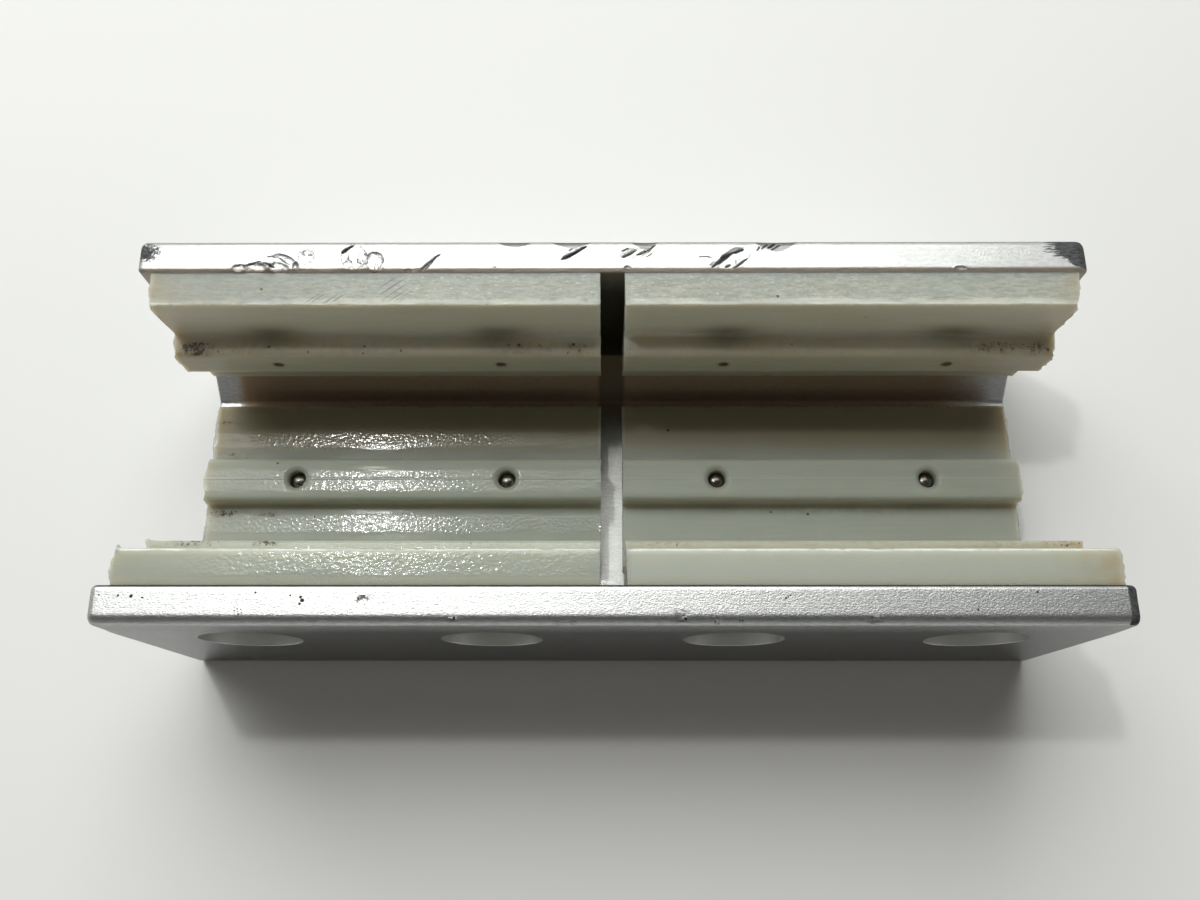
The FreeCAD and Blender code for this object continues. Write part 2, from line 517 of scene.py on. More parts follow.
# Corners broken off a pad's outer end: across, height, reach, depth
END_CHIPS = {
    ("web", "left"): [
        (4, 9.4, 2.6, 0.9), (-3, 9.4, 1.6, 0.6), (-9, 5.6, 4, -0.4), (9, 5.6, 5, -0.5),
    ],
    ("web", "right"): [(4, 9.4, 1, 0.7), (-4, 9.4, 1, 0.4)],
    ("front", "left"): [(-15.5, 5.6, 1.5, 0.8), (-15.5, 0, 0.9, 0.5)],
    ("front", "right"): [(-15.5, 5.6, 0.7, 0.3)],
    ("rear", "left"): [(4.2, 9.4, 1.2, 0.4), (9, 5.6, 3, 0.45), (15.5, 5.6, 1.4, 0.5)],
    ("rear", "right"): [(4.2, 9.4, 1.4, 0.4), (15.5, 5.6, 1.6, 0.6)],
}
# Burrs standing off a pad's outer end: across, height, reach, rise
END_BURRS = {
    ("front", "left"): [(-15.3, 5.4, 0.7, 0.7), (-3.7, 9.3, 0.7, 0.45)],
    ("rear", "left"): [(15.2, 5.6, 0.6, 0.6)],
    ("rear", "right"): [(14, 5.6, 0.5, 0.3)],
}


def pad_step(place):
    """Longest edge allowed in a pad's section: its back needs few points."""
    return BACK_STEP if place[1] < 0.05 else PAD_STEP


def pad_stations(low, high):
    close = np.array([0, 0.1, 0.2, 0.32, 0.46, 0.62, 0.8])
    middle = np.arange(low + 1.1, high - 1.0, PAD_STATION_STEP)
    return np.concatenate([low + close, middle, high - close[::-1]])


def spots(places, entries):
    """Sum of soft spots, each given by across, height, reach and strength."""
    total = np.zeros(places.shape[:-1])
    for across, height, reach, strength in entries:
        away = np.hypot(places[..., 0] - across, places[..., 1] - height) / reach
        total += strength * np.exp(-(away**2))
    return total


def pad_ends(side, end):
    """X of a pad's two ends, with the outer one cut as the real pad's is."""
    low, high = box_mm(f"{side}_pad_{end}")
    cut = OUTER_ENDS[side, end][0]
    return (low[0] + cut, high[0]) if end == "left" else (low[0], high[0] - cut)


def pad_cap(edge, x, outside, seed):
    """Rings from a pad's cut edge to its middle, with the saw's marks across them."""
    rings = []
    for ring in range(1, CAP_RINGS):
        share = 1 - ring / CAP_RINGS
        points = edge.copy()
        points[:, 1:] = PAD_HEART + (edge[:, 1:] - PAD_HEART) * share
        marks = noise(points * (0, 0.25, 2.2), 1, seed) * 0.05
        points[:, 0] = x + (edge[:, 0] - x) * share**4 - outside * np.abs(marks)
        rings.append(points)
    return rings


def worn_edges(grid, seed):
    """How far a pad's edges are worn away, unevenly."""
    corner = spots(np.abs(grid[..., 1:]), [(PAD_HALF_WIDTH - 0.1, PAD_BASE, 0.5, 1.0)])
    nicks = np.maximum(rough_noise(grid, 1.6, seed + 11) - 0.2, 0)
    crown = spots(np.abs(grid[..., 1:]), [(RIDGE_HALF_WIDTH, PAD_HEIGHT, 0.7, 1.0)])
    worn = np.maximum(rough_noise(grid * (0.3, 1, 1), 2.4, seed + 17), 0)
    return corner * (0.12 + 0.6 * nicks) + crown * (0.25 + 0.12 * worn)


def fray_ends(grid, offset, side, end, seed):
    """Cuts back, roughens and burrs the two ends of a pad's points."""
    lowest, highest = pad_ends(side, end)
    for place, outside in ((lowest, -1), (highest, 1)):
        outer = abs(place) > body_high[0] / 2
        distance = np.abs(grid[..., 0] - place)
        section = grid[..., 1:]
        ragged = rough_noise(grid * (0, 1, 1), 1.5, seed + 23, 4)
        serrated = noise(grid * (0, 1, 1), 0.55, seed + 41)
        rough = 0.12 * ragged + 0.05 * serrated
        burrs = 0.2 * np.maximum(rough_noise(grid * (0.2, 1, 1), 0.9, seed + 29), 0)
        cut = 0
        if outer:
            saw_share = 1.0 if end == "right" else 0.4
            rough = 0.26 * ragged + 0.16 * saw_share * serrated
            burrs = 2.2 * burrs + spots(section, END_BURRS.get((side, end), []))
            cut = spots(section, END_CHIPS[side, end])
        grid[..., 0] -= outside * cut * np.clip(1 - distance / END_REACH, 0, 1)
        grid[..., 0] += outside * rough * np.exp(-distance / FRAY_REACH)
        offset += burrs * np.exp(-distance / BURR_REACH)


def make_pad(side, end, seed):
    """One pad: worn edges, frayed saw-cut ends, bosses behind and pin holes in the ridge."""
    lowest, highest = pad_ends(side, end)
    section = refine(section_loop("web_pad_left") - (0, web_face), pad_step)
    grid = sweep(section, pad_stations(lowest, highest))
    offset = 0.03 * rough_noise(grid * (0.35, 1, 1), 3.0, seed) - worn_edges(grid, seed)
    fray_ends(grid, offset, side, end, seed)
    grid[..., 1:] += offset[..., None] * outward(section)

    count = len(section)
    left_cap = pad_cap(grid[0], lowest, -1, seed + 31)
    right_cap = pad_cap(grid[-1], highest, 1, seed + 37)
    rows = left_cap[::-1] + list(grid) + right_cap
    points = np.concatenate(rows)
    faces = tube_faces(len(rows), count)
    ends = [[lowest, *PAD_HEART], [highest, *PAD_HEART]]
    first_end = len(points)
    last = first_end - count
    for column in range(count):
        beside = (column + 1) % count
        faces += [(first_end, beside, column), (first_end + 1, last + column, last + beside)]
    pad = make_object(f"{side}_slide_{end}", np.concatenate([points, ends]), faces)
    combine(pad, [make_boss(x) for x in hole_places(end)], "UNION")
    combine(pad, [make_pin_hole(x, side) for x in hole_places(end)], "DIFFERENCE")
    mark_pad(pad, side, end)
    seat(pad, side)
    shade(pad, sharp_angle=38)
    return pad


def seat(piece, side):
    """Turns a piece that was made flat, and sets it on its side of the channel."""
    tilt, place = SEATS[side]
    turn = Matrix.Rotation(math.radians(tilt), 4, "X")
    piece.data.transform(Matrix.Translation(Vector(place) * MM) @ turn)


# Dirt on the pads, as along, across, half length, half width and strength
PAD_DIRT = {
    ("rear", "left"): [
        (-70, 4.1, 3.4, 0.9, 1.6), (-60, 4.1, 12, 0.6, 0.72), (-42, 4.1, 14, 0.6, 0.65),
        (-14, 4.1, 9, 0.6, 0.85), (-6, 4.1, 4, 0.6, 1),
    ],
    ("rear", "right"): [
        (64, 4.1, 7, 0.6, 1.15), (71, 4.1, 3, 0.7, 1.25), (24, 4.1, 16, 0.6, 0.45),
        (3, 4.1, 2, 0.8, 0.75), (20, 14.6, 22, 0.7, 0.55),
    ],
    ("web", "left"): [
        (-70.5, -5.4, 3.5, 0.9, 1.4), (-63, -5.8, 3.5, 0.7, 1.2), (-71, 5.4, 4, 0.9, 1.1),
        (-70, 8.6, 4.5, 0.5, 1.1), (-72, 12, 5, 0.4, 1),
    ],
    ("web", "right"): [(4, 5, 3, 1, 0.5), (40, -5, 22, 0.8, 0.5)],
    ("front", "left"): [
        (-66, -4.2, 5, 1.5, 1.25), (-55, -4.2, 3, 1.5, 1.35), (-20, -4.2, 18, 1.2, 0.55),
    ],
    ("front", "right"): [
        (9, -4.2, 7, 1.2, 0.9), (72, -4.2, 5, 1.5, 1.1), (62, -4.2, 5, 1.5, 0.9),
        (36, -4.2, 26, 1.2, 0.5),
    ],
}
# Dark specks on the pads: along, across, height, radius
PAD_SPECKS = {
    ("web", "left"): [(-60.8, 2.9, 9.4, 0.2), (-54.3, -6.2, 5.6, 0.2)],
    ("web", "right"): [(10.6, 10.5, 5.6, 0.28), (29.1, -5.3, 5.7, 0.22), (35.8, -5.7, 5.6, 0.25)],
    ("rear", "left"): [
        (-56, 15.5, 2.8, 0.2), (-72, 3.9, 7.7, 0.45), (-66.3, 3.9, 8.6, 0.19),
        (-57.8, 3.9, 7.8, 0.24), (-51.2, 3.9, 8.7, 0.2), (-41.7, 3.9, 7.7, 0.21),
        (-41.9, 3.8, 8.9, 0.19), (-35.5, 3.9, 8.5, 0.22), (-17.4, 3.9, 7.5, 0.2),
        (-15.7, 3.9, 7.5, 0.29), (-6.5, 3.9, 7.4, 0.28),
    ],
    ("rear", "right"): [(26.2, 15.5, 4.1, 0.25), (41.1, 10.9, 5.6, 0.2), (30.2, 4.1, 7.4, 0.2)],
}
# Glossy strips on the web's left pad, which is rubbed dull elsewhere: across, half width
GLOSSY_STRIPS = [(-0.4, 2.0), (8.7, 1.4), (-7.6, 1.6)]
# Painted shade over the holes behind, seen through the plastic: across, half width, strength; half
# length and half height of all
HOLE_SHADES = {"web": (4.4, 1.5, 0.2), "front": (4.4, 1.5, 0.5), "rear": (5.2, 2.4, 1.0)}
HOLE_SHADE_LENGTH = 5.0
HOLE_SHADE_HEIGHT = 2.2
# Slanting scores in the rear pads' edge faces: along, height, half length, half height, strength
SCORED = [(-46.5, 5, 2.6, 1.2, 1), (-43.2, 4.6, 1.6, 0.9, 1), (-34.8, 2.8, 2.4, 2.2, 1)]
# Heights between which the dirt on the arms' pads sets in
DIRT_HEIGHTS = {"front": (7.8, 8.6), "rear": (6.4, 7.4)}
# Painted light along the ridges' feet, lifting the shade in the fold: across, height, reach, strength
PAINTED_FOOT_LIGHTS = {
    "web": [(-RIDGE_HALF_WIDTH - 0.2, PAD_BASE + 1.2, 1.5, 2.5)],
    "front": [],
    "rear": [(RIDGE_HALF_WIDTH + 0.2, PAD_BASE + 1.4, 1.9, 1.0)],
}
# Edges made pale, partly as rubbed wear and partly as painted highlight: across, height, reach,
# strength
PALE_EDGES_AND_HIGHLIGHTS = [
    (PAD_HALF_WIDTH, PAD_BASE, 0.4, 1.0),
    (RIDGE_HALF_WIDTH - 0.2, PAD_HEIGHT, 0.35, 0.4),
]


def mark_pad(pad, side, end):
    """Keeps the pad's flat places, dirt, wear, painted shade and painted highlights on its vertices.
    """
    flat = points_of(pad)
    along, across, height = flat.T
    lowest, highest = pad_ends(side, end)
    from_ends = np.minimum(along - lowest, highest - along)
    from_outer_end = along - lowest if end == "left" else highest - along
    stain, reach = OUTER_ENDS[side, end][1:]
    edge_face = rise(np.abs(across), PAD_HALF_WIDTH - 0.4, PAD_HALF_WIDTH - 0.1)
    dirt = ovals(along, across, PAD_DIRT[side, end])
    if side in DIRT_HEIGHTS:
        dirt = dirt * rise(height, *DIRT_HEIGHTS[side])
    store(pad, {
        "pad_place": flat,
        "dirt": np.clip(dirt, 0, 1.4),
        # Painted shade over the holes behind and in the rear pins' holes, with dirt in the dished
        # mouths
        "hole_shade_and_dirt": hole_shade(flat, side, end),
        # Pale edges, partly rubbed wear and partly painted highlight
        "edge": spots(np.abs(flat[:, 1:]), PALE_EDGES_AND_HIGHLIGHTS),
        "saw": fall(from_ends, 0.1, 0.7),
        "stain": stain * np.exp(-np.maximum(from_outer_end, 0) / reach),
        "planed": edge_face * (side == "rear"),
        # Painted highlight along the burred edge of the arms' pads
        "lip_highlight": edge_face * (side != "web"),
        "pale": edge_face * ((side, end) == ("front", "right")),
        # Painted warm shade on the shaded flanks and crowns
        "tan": browned_and_shaded(flat, side, end),
        "yellowed": edge_face * fall(height, 1.2, 1.5) * (side == "front"),
        "shine": shine(flat, side, end),
        # Painted light along the ridges' feet, lifting the shade in the fold
        "foot": spots(flat[:, 1:], PAINTED_FOOT_LIGHTS[side]),
        "scored": ovals(along, height, SCORED, 2) * edge_face * (side == "rear"),
    })


def ovals(first, second, entries, power=1):
    """Greatest of soft ovals, each given by two places, two half sizes and a strength."""
    total = 0
    for place, other_place, half, other_half, strength in entries:
        away = ((first - place) / half) ** 2 + ((second - other_place) / other_half) ** 2
        total = np.maximum(total, strength * np.exp(-(away**power)))
    return total


def hole_shade(flat, side, end):
    """Painted shade over the holes behind, seen through the plastic, and in the rear pins' closed
    holes; dirt in the other pins' dished mouths.
    """
    along, across, height = flat.T
    shade_across, half_width, strength = HOLE_SHADES[side]
    hole_shade_and_dirt = 0
    for x in hole_places(end):
        away = ((along - x) / HOLE_SHADE_LENGTH) ** 2 + ((height - PAD_BASE) / HOLE_SHADE_HEIGHT) ** 2
        away = away + ((np.abs(across) - shade_across) / half_width) ** 2
        hole_shade_and_dirt = np.maximum(hole_shade_and_dirt, strength * np.exp(-away))
    from_pin = np.min([np.hypot(along - x, across) for x in hole_places(end)], axis=0)
    dish = 0.4 * np.exp(-(((from_pin - pin_radius) / 0.6) ** 2))
    if side == "rear":
        dish = 1.4 * np.exp(-((from_pin / 1.05) ** 4))
    return np.maximum(hole_shade_and_dirt, dish * (height > PAD_BASE))


def browned_and_shaded(flat, side, end):
    """Painted warm shade: browner and darker on the web's far flank and its ridge's near side, which
    lie in shade, and on the rear's crown; the front right ridge is made browner and darker too.
    """
    across, height = flat.T[1:]
    if side == "web":
        ridge_side = fall(across, -4.0, -3.6) * rise(across, -5.2, -4.6)
        return rise(across, 4.5, 9.0) + 0.12 * ridge_side * (height < PAD_HEIGHT - 0.3)
    if side == "rear":
        return 0.45 * rise(height, PAD_HEIGHT - 0.9, PAD_HEIGHT - 0.4)
    return 0.4 * (height > PAD_BASE + 0.6) * (end == "right")


def shine(flat, side, end):
    """How glossy a pad's skin is: all over, or in strips on the two pads that catch the light."""
    along, across, height = flat.T
    ragged = 0.5 * noise(flat * (0.25, 1, 1), 1.0, 71)
    if (side, end) == ("web", "left"):
        strips = []
        for middle, half in GLOSSY_STRIPS:
            from_middle = np.abs(across + ragged - middle)
            strips.append(fall(from_middle, half - 0.35, half + 0.35))
        return 0.12 + 0.88 * np.max(strips, axis=0)
    if (side, end) == ("front", "left"):
        strip = rise(height + 0.5 * ragged, 1.2, 1.6) * rise(along, -70.0, -52.0)
        return 0.15 + 0.85 * strip
    return np.ones(len(flat))


def make_boss(x):
    radius = HOLE_RADIUS - BOSS_CLEARANCE
    profile = [(radius, -BOSS_LENGTH), (radius, PAD_BASE / 2)]
    return lathe(f"boss_{x:.0f}", profile, (x, 0, 0))


def make_pin_hole(x, side):
    """Cutter for a pin's hole: softly dished, or nearly closed over on the rear pads."""
    bore = pin_radius + PIN_CLEARANCE
    profile = [(bore, PIN_FLOOR)]
    if side == "rear":
        profile += [(bore, CLOSED_FROM), (CLOSED_RADIUS, CLOSED_FROM + CLOSED_TAPER)]
        profile.append((CLOSED_RADIUS, PAD_HEIGHT + DRILL_START))
    else:
        for share in np.linspace(0, 1.15, 7):
            height = PAD_HEIGHT + COUNTERSINK_DEPTH * (share - 1)
            profile.append((bore + COUNTERSINK_RIM * share**1.6, height))
    return lathe(f"pin_hole_{x:.0f}", profile, (x, 0, 0), segments=48)


# Lock pins
PIN_DOME = 0.9
PIN_TIP_CHAMFER = 0.4


def make_pins(side, end):
    """A pad's two lock pins, with domed heads."""
    head = pin_high[2] - web_face
    foot = pin_low[2] - web_face
    profile = [(pin_radius - PIN_TIP_CHAMFER, foot), (pin_radius, foot + PIN_TIP_CHAMFER)]
    for turn in np.linspace(0, 0.98, 9) * math.pi / 2:
        profile.append((pin_radius * math.cos(turn), head - PIN_DOME * (1 - math.sin(turn))))
    name = f"{side}_lock_pins_{end}"
    pins = [lathe(name, profile, (x, 0, 0), segments=40) for x in hole_places(end)]
    combine(pins[0], pins[1:], "UNION")
    seat(pins[0], side)
    shade(pins[0], sharp_angle=40)
    return pins[0]


# Materials
class Graph:
    """The shader nodes of a material or a world, added and linked one at a time."""

    def __init__(self, owner):
        owner.use_nodes = True
        self.owner = owner
        self.tree = owner.node_tree

    def add(self, kind, inputs, **settings):
        node = self.tree.nodes.new("ShaderNode" + kind)
        for name, value in settings.items():
            setattr(node, name, value)
        self.fill(node, inputs)
        return node

    def fill(self, node, inputs):
        """Links or sets a node's inputs. A colour is given by its red, green and blue."""
        for key, value in inputs.items():
            socket = node.inputs[key]
            if isinstance(value, bpy.types.NodeSocket):
                self.tree.links.new(value, socket)
            elif socket.type == "RGBA":
                socket.default_value = (*value, 1.0)
            else:
                socket.default_value = value

    def finish(self, inputs, shader="Principled BSDF"):
        """Fills the shader's own inputs and gives back the material or world."""
        self.fill(self.tree.nodes[shader], inputs)
        return self.owner

    def attribute(self, name, output="Fac"):
        return self.add("Attribute", {}, attribute_name=name).outputs[output]

    def compute(self, operation, first, second=0.0):
        return self.add("Math", {0: first, 1: second}, operation=operation).outputs[0]

    times = partialmethod(compute, "MULTIPLY")
    plus = partialmethod(compute, "ADD")
    minus = partialmethod(compute, "SUBTRACT")
    most = partialmethod(compute, "MAXIMUM")

    def split(self, vector):
        return self.add("SeparateXYZ", {0: vector}).outputs

    def scaled(self, vector, scale):
        return self.add("VectorMath", {0: vector, 1: scale}, operation="MULTIPLY").outputs[0]

    def noise(self, vector, scale, detail=2.0, roughness=0.5):
        """Noise at one scale, or with a scale for each axis."""
        if isinstance(scale, tuple):
            vector = self.scaled(vector, scale)
            scale = 1.0
        inputs = {"Vector": vector, "Scale": scale, "Detail": detail, "Roughness": roughness}
        return self.add("TexNoise", inputs).outputs["Fac"]

    def ramp(self, value, low, high, start=0.0, end=1.0, kind="SMOOTHSTEP"):
        inputs = {"Value": value, "From Min": low, "From Max": high, "To Min": start, "To Max": end}
        return self.add("MapRange", inputs, interpolation_type=kind).outputs[0]

    def band(self, value, middle, half_width):
        """1 at the middle, falling smoothly to 0 half a width away."""
        return self.ramp(self.compute("ABSOLUTE", self.minus(value, middle)), half_width, 0.0)

    def mix(self, factor, first, second):
        return self.add("Mix", {0: factor, 2: first, 3: second}).outputs[0]

    def blend(self, factor, first, second):
        return self.add("Mix", {0: factor, 6: first, 7: second}, data_type="RGBA").outputs[2]

    def layers(self, base, entries):
        """Lays colours over a base, each where its mask is and as strong as its share."""
        for mask, share, paint in entries:
            base = self.blend(self.times(mask, share), base, paint)
        return base

    def bump(self, height, distance, strength, normal=None):
        inputs = {"Height": height, "Distance": distance, "Strength": strength}
        if normal is not None:
            inputs["Normal"] = normal
        return self.add("Bump", inputs).outputs[0]

    def specks(self, place, ragged, entries):
        """1 in each ragged spot given by its centre and radius."""
        total = 0.0
        shift = self.times(self.minus(ragged, 0.5), SPECK_RAGGEDNESS)
        for *centre, radius in entries:
            node = self.add("VectorMath", {0: place, 1: centre}, operation="DISTANCE")
            away = self.plus(node.outputs["Value"], shift)
            total = self.most(total, self.ramp(away, radius + SPECK_SOFTNESS, radius - SPECK_SOFTNESS))
        return total

    def place_mm(self):
        coordinates = self.add("TexCoord", {}).outputs["Object"]
        return self.scaled(coordinates, (1 / MM, 1 / MM, 1 / MM))


SPECK_RAGGEDNESS = 0.35
SPECK_SOFTNESS = 0.05
BLACK = (0.03, 0.027, 0.02)
TIP_MARKS = ("bare", "scuff", "cut", "groove_shade", "crumpled")


def anodised_aluminium():
    """Satin anodised extrusion: fine grain, draw lines along X, and the wear, dirt and painted shade
    kept on its vertices.
    """
    g = Graph(bpy.data.materials.new("anodised_aluminium"))
    place = g.place_mm()
    axes = g.split(place)
    grain = g.noise(place, (2.8, 4.2, 4.2), 3.0, 0.6)
    lines = g.noise(place, (0.03, 4.0, 4.0), 3.0, 0.6)
    cloud = g.noise(place, 0.12, 3.0)
    mottle = g.noise(place, 2.4, 4.0, 0.75)
    streaks = g.noise(place, (0.7, 3.5, 3.5), 5.0, 0.75)
    speckle = g.ramp(g.noise(place, (0.8, 2.6, 2.6), 4.0, 0.75), 0.35, 0.65)

    on_tip = g.ramp(axes[2], tip_z - 1.6, tip_z - 0.8)
    bare, scuff, cut, groove_shade, crumpled = (g.times(g.attribute(name), on_tip) for name in TIP_MARKS)
    inside_ends = g.ramp(g.compute("ABSOLUTE", axes[0]), body_high[0] - 0.1, body_high[0] - 0.4)
    brown_shade, shade_and_grime = (g.times(g.attribute(name), inside_ends) for name in ("brown_shade", "shade_and_grime"))
    bore = g.attribute("bore")
    abraded = g.mix(g.ramp(axes[0], -10, 10), mottle, streaks)
    patchy = g.times(g.minus(abraded, 0.5), 1.6)
    dark = g.times(g.ramp(g.plus(scuff, patchy), 0.3, 0.65), g.ramp(scuff, 0.02, 0.3))
    # Painted shade in patches over the crumpled craters and at their rims
    crater_shade = g.ramp(g.plus(mottle, g.times(crumpled, 0.25)), 0.66, 0.76)
    crater_shade = g.times(crater_shade, g.ramp(crumpled, 0.02, 0.2, 0.0, 0.85))
    specks = [(x, y, tip_height(y), radius) for x, y, radius in NEAR_SPECKS]

    worn = g.blend(speckle, (0.035, 0.037, 0.04), (0.14, 0.145, 0.15))
    satin = g.blend(cloud, (0.58, 0.59, 0.585), (0.65, 0.655, 0.645))
    finish = g.layers(satin, [
        (speckle, 0.45, (0.36, 0.36, 0.355)),
        (bare, 1.0, (0.7, 0.7, 0.69)),
        (bore, 1.0, (0.8, 0.8, 0.78)),
        # Painted shade on the steep walls of dents and on the faces of the bites
        (cut, 0.85, (0.12, 0.12, 0.115)),
        (crater_shade, 1.0, (0.14, 0.14, 0.13)),
        # Painted shade in the slashes and the craters' cracks
        (groove_shade, 0.9, (0.04, 0.04, 0.038)),
        (g.specks(place, g.noise(place, 3.0), specks), 1.0, BLACK),
        # Painted brown shade on the far tip's inner edge and in the rear inside corner
        (brown_shade, 1.0, (0.46, 0.29, 0.16)),
        # Darkening, part dirt and part painted shade, in the gap and along the tips' inner edges
        (shade_and_grime, 0.93, (0.075, 0.07, 0.045)),
        (dark, 0.94, worn),
    ])
    dull = g.most(g.most(dark, g.most(groove_shade, brown_shade)), g.times(bore, 0.5))
    rough = g.plus(g.ramp(grain, 0.2, 0.8, 0.29, 0.43), g.times(dull, 0.4))
    normal = g.bump(grain, 0.00006, 0.9, g.bump(lines, 0.00003, 0.35))
    return g.finish({
        "Base Color": finish,
        "Metallic": 1.0,
        "Roughness": g.minus(rough, g.times(g.attribute("outer"), 0.14)),
        "Specular Tint": (0.5, 0.5, 0.51),
        "Normal": g.bump(g.times(g.noise(place, 3.0, 3.0), bare), 0.0003, 0.6, normal),
    })


# Plastic's darker and lighter milk: plain, and warmer on the rear pads as painted warm shade
MILK = {
    False: ((0.375, 0.4, 0.34), (0.455, 0.485, 0.425)),
    True: ((0.43, 0.415, 0.335), (0.52, 0.505, 0.42)),
}
# Gloss, its roughness, and the ripple and fineness of a pad's skin, where it is striped and where not
STRIPED_SKINS = {
    ("web", "left"): (0.6, 0.1, 0.000048, 2),
    ("front", "left"): (0.6, 0.11, 0.000065, 2.1),
}
PLAIN_SKIN = (0.35, 0.35, 0.00002, 1.9)
# How far light goes into a pad, in metres
LIGHT_REACH = {"web": 0.006, "front": 0.006, "rear": 0.004}


def planed_silver(g, place, along, height, strokes, ragged):
    """Silvery planed plastic, with a painted ragged highlight along its rim, white flecks and slanting
    scores.
    """
    silver = g.blend(g.ramp(strokes, 0.3, 0.7), (0.31, 0.325, 0.285), (0.5, 0.53, 0.475))
    # The ragged rim is a painted highlight along the edge
    rim = g.ramp(g.plus(height, ragged), 5.5, 6.3)
    flecks = g.ramp(g.noise(g.scaled(place, (0.5, 1.0, 1.6)), 2.0, 4.0, 0.75), 0.58, 0.64)
    flecks = g.times(flecks, g.ramp(g.compute("ABSOLUTE", along), 60, 20, 0.2, 0.8))
    slant = g.plus(g.times(height, 0.8), g.times(along, 0.6))
    slant = g.add("CombineXYZ", {0: slant}).outputs[0]
    scores = g.times(g.ramp(g.noise(slant, 2.0, 1.0), 0.52, 0.58), g.attribute("scored"))
    return g.layers(silver, [
        (g.most(g.times(rim, 0.6), flecks), 1.0, (0.78, 0.81, 0.735)),
        (g.ramp(along, -30, -65), 0.45, (0.27, 0.285, 0.25)),
        (scores, 0.8, (0.2, 0.2, 0.17)),
    ])


def slide_plastic(pad):
    """Milky plastic of one pad, with dirt in its corners, edges whitened partly by wear and partly as
    painted highlight, painted shade and light, and a moulded skin.
    """
    side, end = pad
    gloss, gloss_roughness, ripple, ripple_scale = STRIPED_SKINS.get(pad, PLAIN_SKIN)
    g = Graph(bpy.data.materials.new(f"slide_plastic_{side}_{end}"))
    place = g.attribute("pad_place", "Vector")
    along, across, height = g.split(place)
    cloud = g.noise(g.scaled(place, (0.25, 1.0, 1.0)), 0.28, 4.0, 0.6)
    drawn = g.noise(place, (0.06, 2.2, 2.2), 4.0, 0.65)
    strokes = g.noise(place, (0.6, 1.0, 2.6), 5.0, 0.75)
    ragged = g.times(g.noise(g.scaled(place, (0.5, 1.0, 1.5)), 0.5, 4.0, 0.7), 2.6)
    fine = g.noise(place, 6.0, 3.0, 0.7)
    planed, cut, dirt, glossy = (g.attribute(name) for name in ("planed", "saw", "dirt", "shine"))

    silver = planed_silver(g, place, along, height, strokes, ragged)
    yellow = g.times(g.attribute("stain"), g.ramp(g.noise(place, 0.5, 3.0), 0.3, 0.65, 0.5, 1.0))
    worn = g.times(g.attribute("edge"), g.ramp(g.noise(place, 1.3, 3.0, 0.7), 0.35, 0.6))
    patchy = g.ramp(g.noise(place, (0.12, 0.5, 0.5), 3.0), 0.36, 0.5, 0.25, 1.0)
    wavy = g.plus(height, g.times(g.minus(ragged, 1.3), 0.25))
    lip_highlight = g.times(g.band(wavy, PAD_BASE - 0.3, 0.3), g.attribute("lip_highlight"))
    line = g.band(across, 0.0, 0.28)
    film = g.times(dirt, g.ramp(g.noise(place, 0.8, 3.0), 0.3, 0.75, 0.0, 0.5))
    limit = g.minus(0.73, g.times(dirt, 0.2))
    grains = g.ramp(g.minus(g.noise(place, 1.5, 5.0, 0.75), limit), 0.0, 0.05)
    # On the rear pads the milk is warmer, as painted warm shade
    milk = g.layers(g.blend(cloud, *MILK[side == "rear"]), [
        (g.ramp(drawn, 0.5, 0.75), 0.25, (0.31, 0.3, 0.225)),
        (planed, 1.0, silver),
        (g.attribute("pale"), 0.5, (0.52, 0.55, 0.49)),
        (g.attribute("yellowed"), 0.45, (0.5, 0.47, 0.33)),
        # Painted light along the ridges' feet, lifting the shade in the fold
        (g.attribute("foot"), 0.2, (0.64, 0.59, 0.47)),
        # Painted warm shade on the shaded flanks and crowns
        (g.attribute("tan"), 0.75, (0.3, 0.25, 0.15)),
        (yellow, 1.0, (0.4, 0.31, 0.17)),
        # Pale edges, partly rubbed wear and partly painted highlight
        (worn, 0.6, (0.7, 0.73, 0.67)),
        # Painted highlight along the burred edge
        (g.times(lip_highlight, patchy), 1.0, (0.94, 0.96, 0.9)),
        (line, 0.2, (0.62, 0.63, 0.58)),
        (cut, 0.4, (0.5, 0.51, 0.45)),
        # Painted shade over the holes behind and in the rear pins' holes, with dirt in the dished
        # mouths
        (g.attribute("hole_shade_and_dirt"), 0.7, (0.1, 0.085, 0.045)),
        (film, 1.0, (0.17, 0.145, 0.085)),
        (grains, 0.9, (0.035, 0.032, 0.024)),
        (g.specks(place, fine, PAD_SPECKS.get(pad, [])), 0.85, BLACK),
    ])

    ripples = g.times(g.noise(g.scaled(place, (0.75, 1, 1)), ripple_scale, 1.0), glossy)
    skin = g.bump(ripples, ripple, 1.0)
    teeth = g.times(g.noise(place, (1, 0.3, 5), 2.0), cut)
    normal = g.bump(teeth, 0.0002, 0.5, g.bump(fine, 0.00003, 0.3, skin))
    normal = g.bump(g.times(strokes, planed), 0.0001, 0.6, normal)
    return g.finish({
        "Base Color": milk,
        "Roughness": 0.5,
        "Specular IOR Level": 0.2,
        "Normal": g.bump(line, 0.00006, 0.6, normal),
        "Subsurface Weight": 0.8,
        "Subsurface Radius": (1.25, 1.0, 0.7),
        "Subsurface Scale": LIGHT_REACH[side],
        "Coat Weight": g.times(glossy, gloss) if pad in STRIPED_SKINS else gloss,
        "Coat Roughness": gloss_roughness,
        "Coat IOR": 1.5,
        "Coat Normal": g.bump(line, 0.00006, 0.6, skin),
    })


